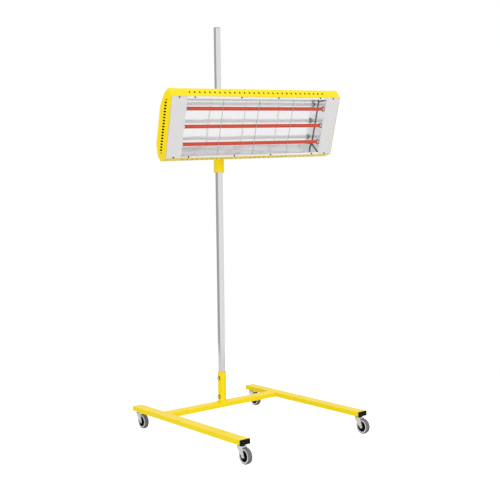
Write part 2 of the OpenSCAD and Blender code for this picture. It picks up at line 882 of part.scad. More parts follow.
// Puts a right-hand piece at both ends of each lamp
module at_lamp_ends() {
    for (z = lamp_zs, m = [0, 1]) mirror([m, 0, 0]) translate([0, lamp_depth, z]) children();
}

module lamp_end_caps() {
    color("ivory") head_place() at_lamp_ends() {
        bar_x(glass_len / 2, lamp_cap_len * 0.8, lamp_d / 2);
        bar_x(glass_len / 2, lamp_cap_len, lamp_d / 3);
    }
}

// A ceramic block behind the end plate, bored for the lamp's end and wider at its mouth
module lamp_holders() {
    color("ivory") head_place() at_lamp_ends() difference() {
        translate([holder_x, -holder_w / 2, -holder_w / 2]) cube([holder_len, holder_w, holder_w]);
        bar_x(holder_x - over, holder_len * 0.9 + over, lamp_d / 2 + close_gap);
        bar_x(holder_x - over, holder_len * 0.5 + over, lamp_hole_r);
    }
}

// Three wires sprung between holes in the reflector's two sloping walls
module guard_wires() {
    color("darkgray") head_place() for (i = [-1:1])
        translate([i * wire_pitch, wire_y, -wire_len / 2]) cylinder(r = wire_d / 2, h = wire_len);
}

module front_screws() {
    color("dimgray") head_place() for (x = screw_xs, s = [-1, 1]) translate([x, 0, s * screw_z]) {
        bar_y(-screw_h, screw_h, screw_r);
        bar_y(-screw_h / 2, panel_t + sheet + screw_r + screw_h / 2, screw_shank);
    }
}

module terminal_block() {
    color("white") head_place() translate([block_x, back_y - sheet, 0])
        difference() {
            translate([-block_len / 2, -block_h, -block_h / 2]) cube([block_len, block_h, block_h]);
            for (i = [-1:1], s = [-1, 1])
                translate([i * block_len / 3.5, 0, s * block_h / 4])
                    bar_y(-block_h - over, block_h / 2 + over, block_h / 8);
        }
}

gland_tail_r = gland_af / 3;

// Cable gland: a tail with a nut inside the cover, a hexagon and a domed cap, all bored through
module cable_gland() {
    color("black") head_place() translate([gland_x, 0, 0]) difference() {
        union() {
            bar_y(back_y - gland_tail, gland_tail + gland_hex_h, gland_tail_r);
            along_y(back_y - sheet - gland_hex_h, gland_hex_h) hex(gland_af);
            along_y(back_y, gland_hex_h) hex(gland_af);
            translate([0, back_y + gland_hex_h, 0]) rotate([-90, 0, 0])
                cylinder(r1 = gland_af * 0.45, r2 = gland_bore * 0.75, h = gland_dome_h);
        }
        bar_y(back_y - gland_tail - over, gland_tail + gland_hex_h + gland_dome_h + 2 * over, gland_bore / 2);
    }
}

// Switch: a bezel on the back cover and a body through it, hollow round the rocker
module switch_housing() {
    pocket_w = rocker_w + 2 * rocker_gap;
    pocket_h = 2 * (rocker_r + rocker_gap);
    color("black") head_place() translate([switch_x, 0, 0]) difference() {
        union() {
            along_y(back_y, switch_plate) round_rect(switch_w, switch_h, switch_plate);
            along_y(back_y - housing_depth, housing_depth)
                square([switch_w - 2 * sheet, switch_h - 4 * sheet], center = true);
        }
        along_y(rocker_y - rocker_r - rocker_gap, 2 * rocker_r + 2 * over)
            square([pocket_w, pocket_h], center = true);
        translate([0, rocker_y, 0]) bar_x(-pocket_w / 2 - sheet, pocket_w + 2 * sheet, sheet / 2 + run_fit);
    }
}

// Rocker: a round-backed key with a flat face, on two small trunnions
module switch_rocker() {
    color("red") head_place() translate([switch_x, rocker_y, 0]) {
        rotate([rocker_rest, 0, 0]) along_x(-rocker_w / 2, rocker_w) intersection() {
            circle(rocker_r);
            translate([-rocker_r * 1.4, 0]) square(2 * rocker_r * 0.98 + rocker_r, center = true);
        }
        bar_x(-rocker_w / 2 - rocker_gap - sheet / 2, rocker_w + 2 * rocker_gap + sheet, sheet / 2);
    }
}

left_leg();
right_leg();
crossbar();
leg_cap(-1, -1);  // cap_front_left
leg_cap(1, -1);  // cap_front_right
leg_cap(-1, 1);  // cap_rear_left
leg_cap(1, 1);  // cap_rear_right
mast_socket();
mast();
mast_cap();
socket_bolts();
caster_stems();
swivel_cups();
fork(-1, swivel_front_y);  // fork_front_left
fork(1, swivel_front_y);  // fork_front_right
fork(-1, swivel_rear_y);  // fork_rear_left
fork(1, swivel_rear_y);  // fork_rear_right
axle(-1, swivel_front_y);  // axle_front_left
axle(1, swivel_front_y);  // axle_front_right
axle(-1, swivel_rear_y);  // axle_rear_left
axle(1, swivel_rear_y);  // axle_rear_right
hub(-1, swivel_front_y);  // hub_front_left
hub(1, swivel_front_y);  // hub_front_right
hub(-1, swivel_rear_y);  // hub_rear_left
hub(1, swivel_rear_y);  // hub_rear_right
tyre(-1, swivel_front_y);  // tyre_front_left
tyre(1, swivel_front_y);  // tyre_front_right
tyre(-1, swivel_rear_y);  // tyre_rear_left
tyre(1, swivel_rear_y);  // tyre_rear_right
lower_bush();
upper_bush();
sleeve();
arm();
height_knob();
roll_knob();
yoke();
tilt_knob();
pivot_bolt();
pivot_bracket();
back_cover();
case_top();
case_bottom();
case_left_end();
case_right_end();
left_end_panel();
right_end_panel();
reflector();
reflector_left_end();
reflector_right_end();
lamp_top();
lamp_middle();
lamp_bottom();
lamp_end_caps();
lamp_holders();
guard_wires();
front_screws();
terminal_block();
cable_gland();
switch_housing();
switch_rocker();
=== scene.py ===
import json
import math

import bmesh
import bpy
from mathutils import Matrix, Vector

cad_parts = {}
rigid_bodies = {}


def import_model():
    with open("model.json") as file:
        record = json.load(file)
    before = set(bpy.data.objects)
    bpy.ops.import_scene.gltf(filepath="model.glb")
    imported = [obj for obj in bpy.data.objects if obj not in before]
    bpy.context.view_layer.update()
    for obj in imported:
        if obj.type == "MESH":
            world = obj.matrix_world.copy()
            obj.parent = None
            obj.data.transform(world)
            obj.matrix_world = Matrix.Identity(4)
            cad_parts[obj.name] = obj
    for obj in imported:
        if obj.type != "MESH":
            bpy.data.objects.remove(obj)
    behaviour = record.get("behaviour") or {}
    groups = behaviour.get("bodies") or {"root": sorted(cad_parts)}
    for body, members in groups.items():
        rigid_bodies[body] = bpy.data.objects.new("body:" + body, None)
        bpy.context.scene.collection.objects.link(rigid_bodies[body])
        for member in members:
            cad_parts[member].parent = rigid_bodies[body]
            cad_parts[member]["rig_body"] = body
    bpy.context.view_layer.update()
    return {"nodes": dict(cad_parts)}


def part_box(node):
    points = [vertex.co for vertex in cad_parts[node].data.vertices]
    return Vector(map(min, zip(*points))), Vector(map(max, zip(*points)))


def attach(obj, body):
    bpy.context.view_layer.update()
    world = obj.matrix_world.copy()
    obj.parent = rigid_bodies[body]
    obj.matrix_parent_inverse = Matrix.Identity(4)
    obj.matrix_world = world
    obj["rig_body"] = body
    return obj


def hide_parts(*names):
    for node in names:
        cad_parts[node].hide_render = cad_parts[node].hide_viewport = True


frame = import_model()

# Camera: a 61 mm lens at chest height, to the left of the lamp and in front of it. It looks down
# by 3 degrees and leans a little, so the mast stands slightly off the upright.
eye = Vector((-2.759, -3.574, 1.15))
turn, pitch, lean = (math.radians(degrees) for degrees in (-39.68, 2.895, -0.722))
level = Vector((math.cos(turn), math.sin(turn), 0))
forward = Vector((-math.sin(turn) * math.cos(pitch), math.cos(turn) * math.cos(pitch), -math.sin(pitch)))
overhead = level.cross(forward)
side = level * math.cos(lean) + overhead * math.sin(lean)
upward = overhead * math.cos(lean) - level * math.sin(lean)
camera = bpy.data.objects.new("Camera", bpy.data.cameras.new("Camera"))
camera.data.sensor_width = 36
camera.data.lens = 61.26
camera.matrix_world = Matrix.Translation(eye) @ Matrix((side, upward, -forward)).transposed().to_4x4()
bpy.context.collection.objects.link(camera)
bpy.context.scene.camera = camera


# Studio: a white floor and a white surround. In gloss the surround is white behind the lamp, pale
# on the right and grey on the left, with a soft light on each side, one behind and one overhead.
def add(tree, kind, settings=None, **sockets):
    """A new node of a tree, with its options, and with values or links for its sockets."""
    node = tree.nodes.new(kind)
    for option, value in (settings or {}).items():
        setattr(node, option, value)
    for label, value in sockets.items():
        target = node.inputs[label.replace("_", " ")]
        if isinstance(value, bpy.types.NodeSocket):
            tree.links.new(value, target)
        else:
            target.default_value = value
    return node


def calc(tree, operation, *values, kind="ShaderNodeMath"):
    """The result of a math node; each value is a link or a number."""
    node = tree.nodes.new(kind)
    node.operation = operation
    for socket, value in zip(node.inputs, values):
        if isinstance(value, bpy.types.NodeSocket):
            tree.links.new(value, socket)
        else:
            socket.default_value = value
    return node.outputs["Value"]


def shader(name, base=(0.8, 0.8, 0.8), roughness=0.5, metallic=0.0, **sockets):
    """A new material with one Principled shader. Constants sit on the shader's own sockets."""
    material = bpy.data.materials.new(name)
    material.use_nodes = True
    bsdf = material.node_tree.nodes["Principled BSDF"]
    bsdf.inputs["Base Color"].default_value = (*base, 1)
    bsdf.inputs["Roughness"].default_value = roughness
    bsdf.inputs["Metallic"].default_value = metallic
    for socket, value in sockets.items():
        bsdf.inputs[socket.replace("_", " ")].default_value = value
    return material


def blend_colours(tree, factor, first, second):
    """A mix of two colours, each a link or a value."""
    mix = add(tree, "ShaderNodeMix", {"data_type": "RGBA"}, Factor=factor, A=first, B=second)
    return mix.outputs["Result"]


def mesh_object(name, verts, faces, *materials, edges=()):
    """A new object at the origin, with its place in its vertices."""
    mesh = bpy.data.meshes.new(name)
    mesh.from_pydata([tuple(v) for v in verts], list(edges), faces)
    for material in materials:
        mesh.materials.append(material)
    obj = bpy.data.objects.new(name, mesh)
    bpy.context.collection.objects.link(obj)
    return obj


bpy.context.scene.view_settings.view_transform = "Standard"
white = (1, 1, 1, 1)
floor_half, glow_to_camera, glow_always = 2.1, 0.82, 0.03
floor_paint = shader("studio_floor", base=(0.7, 0.7, 0.7), roughness=0.9, Emission_Color=white)
floor_tree = floor_paint.node_tree
glow = calc(floor_tree, "MULTIPLY_ADD", add(floor_tree, "ShaderNodeLightPath").outputs["Is Camera Ray"],
            glow_to_camera, glow_always)
floor_tree.links.new(glow, floor_tree.nodes["Principled BSDF"].inputs["Emission Strength"])
floor = mesh_object("floor", [(-floor_half, -floor_half, 0), (floor_half, -floor_half, 0),
                              (floor_half, floor_half, 0), (-floor_half, floor_half, 0)],
                    [(0, 1, 2, 3)], floor_paint)

world = bpy.data.worlds.new("Studio")
bpy.context.scene.world = world
world.use_nodes = True
sky = world.node_tree
direction = add(sky, "ShaderNodeTexCoord").outputs["Generated"]
frontward = calc(sky, "DOT_PRODUCT", direction, -forward, kind="ShaderNodeVectorMath")
leftward = calc(sky, "DOT_PRODUCT", direction, -level, kind="ShaderNodeVectorMath")
height = add(sky, "ShaderNodeSeparateXYZ", Vector=direction).outputs["Z"]

# How bright the surround is in gloss, at angles in degrees from the front towards the left
half_turn, front_position = 180, 0.5
around = calc(sky, "MULTIPLY_ADD", calc(sky, "ARCTAN2", leftward, frontward),
              1 / (2 * math.pi), front_position)
walls = add(sky, "ShaderNodeValToRGB", Fac=around)
wall_stops = [(-half_turn, 0.6), (-150, 0.78), (-60, 0.88), (0, 0.86), (19, 0.88),
              (22, 1.2), (27, 1.2), (30, 0.46), (110, 0.4), (half_turn, 0.34)]
while len(walls.color_ramp.elements) < len(wall_stops):
    walls.color_ramp.elements.new(front_position)
for element, (angle, brightness) in zip(walls.color_ramp.elements, wall_stops):
    element.position = (angle + half_turn) / (2 * half_turn)
    element.color = (brightness, brightness, brightness, 1)

# In gloss it is white behind the lamp and below it. The light that it gives off is grey.
rear_beyond, rear_above, ground_below = -0.5, 0.1, -0.3
diffuse_grey = (0.58, 0.58, 0.58, 1)
rear = calc(sky, "MULTIPLY", calc(sky, "LESS_THAN", frontward, rear_beyond),
            calc(sky, "GREATER_THAN", height, rear_above))
white_part = calc(sky, "MAXIMUM", rear, calc(sky, "LESS_THAN", height, ground_below))
glossy_sky = blend_colours(sky, white_part, walls.outputs["Color"], white)
ray = add(sky, "ShaderNodeLightPath")
lighting_sky = blend_colours(sky, ray.outputs["Is Diffuse Ray"], glossy_sky, diffuse_grey)
seen_sky = blend_colours(sky, ray.outputs["Is Camera Ray"], lighting_sky, white)
sky.links.new(seen_sky, sky.nodes["Background"].inputs["Color"])


def soft_light(name, place, aim, size, power):
    """A square area light at a place, aimed at a point. It lights, but doesn't show in gloss."""
    lamp = bpy.data.lights.new(name, "AREA")
    lamp.size = size
    lamp.energy = power
    obj = bpy.data.objects.new(name, lamp)
    obj.location = place
    obj.rotation_mode = "QUATERNION"
    obj.visible_glossy = False
    obj.rotation_quaternion = (Vector(aim) - Vector(place)).to_track_quat("-Z", "Y")
    bpy.context.collection.objects.link(obj)


soft_light("Key", place=(-5.2, -1.9, 1.9), aim=(0, 0, 1.0), size=2.0, power=92)
soft_light("Fill", place=(1.3, -5.5, 1.9), aim=(0, 0, 1.0), size=2.6, power=90)
soft_light("Overhead", place=(0, -0.4, 4.6), aim=(0, 0, 0.8), size=4.0, power=45)
soft_light("Rear", place=(1.2, 5.2, 2.2), aim=(0, 0, 1.0), size=2.6, power=60)


# Painted tubes of the base: legs, crossbar and mast socket are cut from steel tube, welded and
# powder coated. Each is a copy of its solid with softened edges, under a coat with a fine skin.
def new_group(name, inputs, outputs):
    """An empty shader group with named sockets, as (tree, group input, group output)."""
    tree = bpy.data.node_groups.new(name, "ShaderNodeTree")
    for label, kind, value in inputs:
        socket = tree.interface.new_socket(label, in_out="INPUT", socket_type="NodeSocket" + kind)
        if value is not None:
            socket.default_value = value
    for label, kind in outputs:
        tree.interface.new_socket(label, in_out="OUTPUT", socket_type="NodeSocket" + kind)
    return tree, tree.nodes.new("NodeGroupInput"), tree.nodes.new("NodeGroupOutput")


def noise(tree, vector, scale, detail=2.0):
    """The value of a noise texture; scale is a link or a number of lumps per metre."""
    return add(tree, "ShaderNodeTexNoise", Vector=vector, Scale=scale, Detail=detail).outputs["Fac"]


# The skin of a sprayed, moulded or cast surface: slow colour drift, fine grain and uneven gloss
noise_mean = 0.5
skin, skin_in, skin_out = new_group(
    "surface_skin",
    [("Vector", "Vector", None), ("Colour", "Color", (0.8, 0.8, 0.8, 1)),
     ("Drift Colour", "Color", (0.7, 0.7, 0.7, 1)), ("Grain per Metre", "Float", 900.0),
     ("Roughness", "Float", 0.4), ("Gloss Spread", "Float", 0.1)],
    [("Colour", "Color"), ("Roughness", "Float"), ("Height", "Float")])
slow = noise(skin, skin_in.outputs["Vector"], scale=7.0, detail=3.0)
grain = noise(skin, skin_in.outputs["Vector"], skin_in.outputs["Grain per Metre"])
skin.links.new(blend_colours(skin, slow, skin_in.outputs["Colour"], skin_in.outputs["Drift Colour"]),
               skin_out.inputs["Colour"])
gloss_drift = calc(skin, "MULTIPLY", calc(skin, "SUBTRACT", slow, noise_mean),
                   skin_in.outputs["Gloss Spread"])
skin.links.new(calc(skin, "ADD", gloss_drift, skin_in.outputs["Roughness"]), skin_out.inputs["Roughness"])
skin.links.new(grain, skin_out.inputs["Height"])


def grouped(name, group, base, roughness, metallic=0.0, depth=0.0, values=None, **sockets):
    """A material whose colour, gloss and relief come from a shader group on Object coordinates."""
    material = shader(name, base, roughness, metallic, **sockets)
    tree = material.node_tree
    bsdf = tree.nodes["Principled BSDF"]
    node = add(tree, "ShaderNodeGroup", {"node_tree": group})
    tree.links.new(add(tree, "ShaderNodeTexCoord").outputs["Object"], node.inputs["Vector"])
    node.inputs["Colour"].default_value = (*base, 1)
    node.inputs["Roughness"].default_value = roughness
    for label, value in (values or {}).items():
        node.inputs[label].default_value = (*value, 1) if "Colour" in label else value
    tree.links.new(node.outputs["Colour"], bsdf.inputs["Base Color"])
    tree.links.new(node.outputs["Roughness"], bsdf.inputs["Roughness"])
    if depth:
        bump = add(tree, "ShaderNodeBump", Distance=depth, Height=node.outputs["Height"])
        tree.links.new(bump.outputs["Normal"], bsdf.inputs["Normal"])
    return material


yellow = grouped("yellow_powder_coat", skin, (0.97, 0.745, 0.006), roughness=0.34, depth=0.00006,
                 Specular_IOR_Level=0.2, values={"Drift Colour": (0.95, 0.715, 0.005),
                                                 "Grain per Metre": 700.0, "Gloss Spread": 0.08})

# Points this near are one, faces this flat are one, and a sunk panel takes faces that look its way
# this squarely and lie this near the outermost, as a share of its border
same_point, flat_within, facing_share, panel_reach = 2e-6, math.radians(0.6), 0.99, 1 / 8


def finished(node, name, *materials, bevel=0.0006, angle=30, pick=None, panel=None):
    """A copy of a solid, merged, with its edges softened, in place of the solid.

    Pick gives the number of the material for a face. Panel sinks the outermost faces that look
    one way, and is that direction, the width of the border left around them and the depth."""
    source = frame["nodes"][node]
    mesh = source.data.copy()
    mesh.materials.clear()
    for material in materials:
        mesh.materials.append(material)
    work = bmesh.new()
    work.from_mesh(mesh)
    bmesh.ops.remove_doubles(work, verts=work.verts, dist=same_point)
    bmesh.ops.dissolve_limit(work, angle_limit=flat_within, verts=work.verts, edges=work.edges,
                             use_dissolve_boundaries=False)
    work.normal_update()
    if panel:
        way, border, sink = panel
        furthest = max(face.calc_center_median().dot(way) for face in work.faces)
        sunk = [face for face in work.faces if face.normal.dot(way) > facing_share
                and furthest - face.calc_center_median().dot(way) < border * panel_reach]
        bmesh.ops.inset_region(work, faces=sunk, thickness=border, depth=-sink)
    for face in work.faces:
        face.smooth = True
        face.material_index = pick(face) if pick else 0
    for edge in work.edges:
        edge.smooth = len(edge.link_faces) == 2 and edge.calc_face_angle(0) < math.radians(angle)
    work.to_mesh(mesh)
    work.free()
    obj = bpy.data.objects.new(name, mesh)
    bpy.context.collection.objects.link(obj)
    if bevel:
        soften = obj.modifiers.new("Softened edges", "BEVEL")
        soften.width = bevel
        soften.segments = 2
        soften.limit_method = "ANGLE"
        soften.angle_limit = math.radians(angle)
        soften.harden_normals = True
    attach(obj, source["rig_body"])
    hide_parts(node)
    return obj


for node in ("left_leg", "right_leg", "crossbar", "mast_socket"):
    finished(node, node + "_tube", yellow)


def join(tree, source, target, label):
    """A link from a node's first output to a named input of another node."""
    tree.links.new(source.outputs[0], target.inputs[label])


def geometry_tree(name, inputs):
    """An empty tree with named sizes and a material, as (tree, input node, output node)."""
    tree = bpy.data.node_groups.new(name, "GeometryNodeTree")
    tree.interface.new_socket("Geometry", in_out="INPUT", socket_type="NodeSocketGeometry")
    for label, value in inputs:
        socket = tree.interface.new_socket(label, in_out="INPUT", socket_type="NodeSocketFloat")
        socket.default_value = value
    tree.interface.new_socket("Material", in_out="INPUT", socket_type="NodeSocketMaterial")
    tree.interface.new_socket("Geometry", in_out="OUTPUT", socket_type="NodeSocketGeometry")
    return tree, tree.nodes.new("NodeGroupInput"), tree.nodes.new("NodeGroupOutput")


def close_tree(tree, given, result, last, smooth=True):
    """The end of a tree: shading, real meshes in place of instances, and the material."""
    shade = add(tree, "GeometryNodeSetShadeSmooth", Shade_Smooth=smooth)
    real = tree.nodes.new("GeometryNodeRealizeInstances")
    paint = add(tree, "GeometryNodeSetMaterial", Material=given.outputs["Material"])
    join(tree, last, shade, "Geometry")
    join(tree, shade, real, "Geometry")
    join(tree, real, paint, "Geometry")
    join(tree, paint, result, "Geometry")


# A bead laid along a path: a round section whose radius swells at each ripple
bead, bead_in, bead_out = geometry_tree(
    "weld_bead", [("Radius", 0.002), ("Ripple Pitch", 0.003), ("Ripple Depth", 0.2)])
steps_per_ripple = 4
path = bead.nodes.new("GeometryNodeMeshToCurve")
bead.links.new(bead_in.outputs["Geometry"], path.inputs["Mesh"])
stepped = add(bead, "GeometryNodeResampleCurve", {"mode": "LENGTH"},
              Length=calc(bead, "DIVIDE", bead_in.outputs["Ripple Pitch"], steps_per_ripple))
join(bead, path, stepped, "Curve")
wave = calc(bead, "SINE", calc(bead, "MULTIPLY", bead.nodes.new("GeometryNodeInputIndex").outputs["Index"],
                               2 * math.pi / steps_per_ripple))
swell = calc(bead, "MULTIPLY_ADD", wave, bead_in.outputs["Ripple Depth"], 1.0)
section = add(bead, "GeometryNodeCurvePrimitiveCircle", Resolution=8, Radius=bead_in.outputs["Radius"])
swept = add(bead, "GeometryNodeCurveToMesh", Fill_Caps=True, Scale=swell)
join(bead, stepped, swept, "Curve")
join(bead, section, swept, "Profile Curve")
close_tree(bead, bead_in, bead_out, swept)


def grown(name, body, slot, tree, material, values, points, edges=(), facing=None):
    """The plain mesh that a tree grows from points or a path, riding on a body.

    Values are the tree's sizes, and facing is the direction that each point looks in."""
    seed = mesh_object(name + "_seed", points, [], edges=edges)
    if facing:
        ways = seed.data.attributes.new("facing", "FLOAT_VECTOR", "POINT")
        ways.data.foreach_set("vector", [number for way in facing for number in way])
    grow = seed.modifiers.new(tree.name, "NODES")
    grow.node_group = tree
    for socket in tree.interface.items_tree:
        if socket.in_out == "INPUT" and socket.name in values:
            grow[socket.identifier] = values[socket.name]
        elif socket.in_out == "INPUT" and socket.name == "Material":
            grow[socket.identifier] = material
    result = seed.evaluated_get(bpy.context.evaluated_depsgraph_get())
    mesh = bpy.data.meshes.new_from_object(result)
    bpy.data.objects.remove(seed)
    obj = bpy.data.objects.new(name, mesh)
    bpy.context.collection.objects.link(obj)
    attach(obj, body)
    return obj


def paths(*runs):
    """Points and edges of several runs of points; a run that ends where it starts is closed."""
    points, edges = [], []
    for run in runs:
        first = len(points)
        closed = (Vector(run[0]) - Vector(run[-1])).length < same_point
        kept = run[:-1] if closed else run
        points += [Vector(point) for point in kept]
        edges += [(first + k, first + k + 1) for k in range(len(kept) - 1)]
        if closed:
            edges.append((len(points) - 1, first))
    return points, edges


def ring(count, point_at):
    """A closed run of points, from a function of the angle."""
    return [point_at(2 * math.pi * k / count) for k in range(count)] + [point_at(0)]


# Welds round the mast socket and down the four corners where the crossbar meets the legs
socket_weld_r, socket_weld_z = 0.0228, 0.1124
crossbar_end_x, crossbar_half, corner_weld_low, corner_weld_high = 0.3538, 0.0302, 0.089, 0.1105
weld = {"Radius": 0.0021, "Ripple Pitch": 0.0032, "Ripple Depth": 0.18}
socket_weld = ring(count=48, point_at=lambda t: (socket_weld_r * math.cos(t), socket_weld_r * math.sin(t),
                                                 socket_weld_z))
corner_welds = [[(x, y, corner_weld_low), (x, y, corner_weld_high)]
                for x in (-crossbar_end_x, crossbar_end_x) for y in (-crossbar_half, crossbar_half)]
grown("base_weld_beads", "base", "yellow_paint", bead, yellow, weld, *paths(socket_weld, *corner_welds))


# The end caps of the legs are moulded in black plastic, with a sunk panel in the face, and pushed
# into the ends of the tubes.
panel_border, panel_sink = 0.0035, 0.0009
black_plastic = grouped("black_moulded_plastic", skin, (0.004, 0.004, 0.004), roughness=0.5, depth=0.00008,
                        Specular_IOR_Level=0.12,
                        values={"Drift Colour": (0.009, 0.009, 0.009), "Grain per Metre": 1500.0})
for corner in ("front_left", "front_right", "rear_left", "rear_right"):
    outward = Vector((0, -1 if "front" in corner else 1, 0))
    finished("cap_" + corner, corner + "_end_cap", black_plastic, panel=(outward, panel_border, panel_sink))


# The mast is a drawn aluminium tube with a grey plastic plug in its top. Two zinc-plated bolts on
# dark lock washers hold it in its socket, and the washers' dark ring also paints the shade round each bolt
# head. Drawing leaves fine streaks along it.
streaks, streaks_in, streaks_out = new_group(
    "drawn_streaks",
    [("Vector", "Vector", None), ("Colour", "Color", (0.7, 0.7, 0.7, 1)),
     ("Drift Colour", "Color", (0.6, 0.6, 0.6, 1)), ("Stretch", "Vector", (600.0, 600.0, 6.0)),
     ("Roughness", "Float", 0.3), ("Gloss Spread", "Float", 0.15)],
    [("Colour", "Color"), ("Roughness", "Float"), ("Height", "Float")])
stretch = add(streaks, "ShaderNodeVectorMath", {"operation": "MULTIPLY"})
streaks.links.new(streaks_in.outputs["Vector"], stretch.inputs[0])
streaks.links.new(streaks_in.outputs["Stretch"], stretch.inputs[1])
lines = noise(streaks, stretch.outputs["Vector"], scale=1.0, detail=3.0)
lined = blend_colours(streaks, lines, streaks_in.outputs["Colour"], streaks_in.outputs["Drift Colour"])
streaks.links.new(lined, streaks_out.inputs["Colour"])
line_gloss = calc(streaks, "MULTIPLY", calc(streaks, "SUBTRACT", lines, noise_mean),
                  streaks_in.outputs["Gloss Spread"])
streaks.links.new(calc(streaks, "ADD", line_gloss, streaks_in.outputs["Roughness"]),
                  streaks_out.inputs["Roughness"])
streaks.links.new(lines, streaks_out.inputs["Height"])

mast_metal = grouped("drawn_aluminium", streaks, (0.86, 0.86, 0.87), roughness=0.12, metallic=1.0,
                     depth=0.00001, values={"Drift Colour": (0.8, 0.8, 0.81), "Gloss Spread": 0.08})
grey_plastic = grouped("grey_moulded_plastic", skin, (0.3, 0.3, 0.31), roughness=0.5, depth=0.00008,
                       values={"Drift Colour": (0.26, 0.26, 0.27), "Grain per Metre": 1200.0})
zinc = grouped("bright_zinc_plate", skin, (0.9, 0.91, 0.92), roughness=0.26, metallic=1.0, depth=0.00003,
               values={"Drift Colour": (0.8, 0.81, 0.83), "Grain per Metre": 500.0, "Gloss Spread": 0.2})
# Blackened steel for the dark screws; on the lock washers and the lamp end rings its dark also paints shade
dark_steel = grouped("blackened_steel_and_painted_shade", skin, (0.02, 0.019, 0.018), roughness=0.42, metallic=0.3,
                     depth=0.00004, values={"Drift Colour": (0.03, 0.029, 0.027), "Grain per Metre": 900.0})
finished("mast", "mast_tube", mast_metal, bevel=0.0004)
finished("mast_cap", "mast_top_plug", grey_plastic, bevel=0.0008)
finished("socket_bolts", "socket_set_bolts", zinc, bevel=0.0005)
bolt_low, bolt_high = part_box("socket_bolts")
bolt_head, bolt_corner_r, washer_wire_r = 0.0064, 0.0098, 0.0012
washer_x, washer_r = bolt_low[0] + bolt_head, bolt_corner_r + washer_wire_r / 2
washers = [ring(count=32, point_at=lambda t: (washer_x, washer_r * math.cos(t), z + washer_r * math.sin(t)))
           for z in (bolt_low[2] + bolt_corner_r, bolt_high[2] - bolt_corner_r)]
# Dark lock washers: their dark ring is partly painted shade round the bolt heads
grown("bolt_lock_washers", "base", "dark_steel", bead, dark_steel,
      {"Radius": washer_wire_r, "Ripple Pitch": 0.004, "Ripple Depth": 0.25}, *paths(*washers))


# Casters: a pressed, zinc-plated fork swivels under a black bearing cup on a stem, and a black
# plastic hub with a soft grey tyre turns on a bolt through the fork. The tread is a darker grey than the
# side walls.
hub_plastic = grouped("hub_black_plastic", skin, (0.004, 0.004, 0.004), roughness=0.4, depth=0.00006,
                      Specular_IOR_Level=0.12,
                      values={"Drift Colour": (0.008, 0.008, 0.008), "Grain per Metre": 1300.0})
tyre_wall = grouped("grey_tyre_rubber", skin, (0.78, 0.78, 0.785), roughness=0.6, depth=0.0001,
                    values={"Drift Colour": (0.68, 0.68, 0.685), "Grain per Metre": 900.0})
# A darker grey for the tread than for the side walls
tyre_tread = grouped("darker_tread_rubber", skin, (0.12, 0.123, 0.13), roughness=0.75, depth=0.0002,
                     values={"Drift Colour": (0.21, 0.214, 0.224), "Grain per Metre": 500.0})
tread_height = 0.004
finished("caster_stems", "caster_stem_bolts", zinc, bevel=0.0003)
finished("swivel_cups", "caster_bearing_cups", black_plastic, bevel=0.0005)
for corner in ("front_left", "front_right", "rear_left", "rear_right"):
    finished("fork_" + corner, corner + "_fork", zinc)
    finished("axle_" + corner, corner + "_axle_bolt", zinc, bevel=0.0004)
    finished("hub_" + corner, corner + "_hub", hub_plastic)
    tyre_low, tyre_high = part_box("tyre_" + corner)
    hub_middle = (Vector(tyre_low) + Vector(tyre_high)) / 2
    tread_from = (tyre_high[2] - tyre_low[2]) / 2 - tread_height
    finished("tyre_" + corner, corner + "_tyre", tyre_wall, tyre_tread, bevel=0,
             pick=lambda face: int((face.calc_center_median() - hub_middle).length > tread_from))


# Carriage: a yellow sleeve with two nylon bushes slides and turns on the mast, and an arm is
# welded to it. A star knob on the sleeve locks the height, another on the arm locks the roll.
nylon = grouped("white_nylon", skin, (0.78, 0.77, 0.72), roughness=0.45, depth=0.00003,
                values={"Drift Colour": (0.74, 0.73, 0.68), "Grain per Metre": 800.0})
finished("lower_bush", "lower_slide_bush", nylon, bevel=0.0005)
finished("upper_bush", "upper_slide_bush", nylon, bevel=0.0005)
finished("sleeve", "carriage_sleeve", yellow)
finished("arm", "carriage_arm", yellow)
finished("height_knob", "height_lock_knob", black_plastic, bevel=0.0012)
head_yaw = math.radians(-8.5)
swing = Matrix.Rotation(head_yaw, 4, "Z")
arm_height, arm_radius, sleeve_radius = 1.588, 0.016, 0.027
knob_height, knob_boss_r, roll_knob_y = 1.62, 0.011, -0.1842


def on_tube(radius, offset):
    """How far a tube's surface stands out where it is an offset from the tube's middle line."""
    return math.sqrt(radius ** 2 - offset ** 2)


def round_arm(angle):
    """A point of the seam where the arm meets the front of the sleeve."""
    across, up = arm_radius * math.cos(angle), arm_radius * math.sin(angle)
    return swing @ Vector((across, -on_tube(sleeve_radius, across), arm_height + up))


def round_height_boss(angle):
    """A point of the seam where the height knob's boss meets the back of the sleeve."""
    across, up = knob_boss_r * math.cos(angle), knob_boss_r * math.sin(angle)
    return swing @ Vector((across, on_tube(sleeve_radius, across), knob_height + up))


def round_roll_boss(angle):
    """A point of the seam where the roll knob's boss meets the top of the arm."""
    across, along = knob_boss_r * math.cos(angle), knob_boss_r * math.sin(angle)
    return swing @ Vector((across, roll_knob_y + along, arm_height + on_tube(arm_radius, across)))


carriage_welds = (ring(count=40, point_at=round_arm), ring(count=32, point_at=round_height_boss),
                  ring(count=32, point_at=round_roll_boss))
grown("carriage_weld_beads", "carriage", "yellow_paint", bead, yellow, {**weld, "Radius": 0.0017},
      *paths(*carriage_welds))
finished("roll_knob", "roll_lock_knob", black_plastic, bevel=0.0012)


# Yoke and bracket: the yoke turns in the arm, and its ears hold the head's bracket between a
# pivot bolt on the left and a star knob on the right.
finished("yoke", "head_yoke", yellow, bevel=0.0008)
finished("tilt_knob", "tilt_lock_knob", black_plastic, bevel=0.0012)
finished("pivot_bolt", "tilt_pivot_bolt", zinc, bevel=0.0005)
finished("pivot_bracket", "head_bracket", yellow)
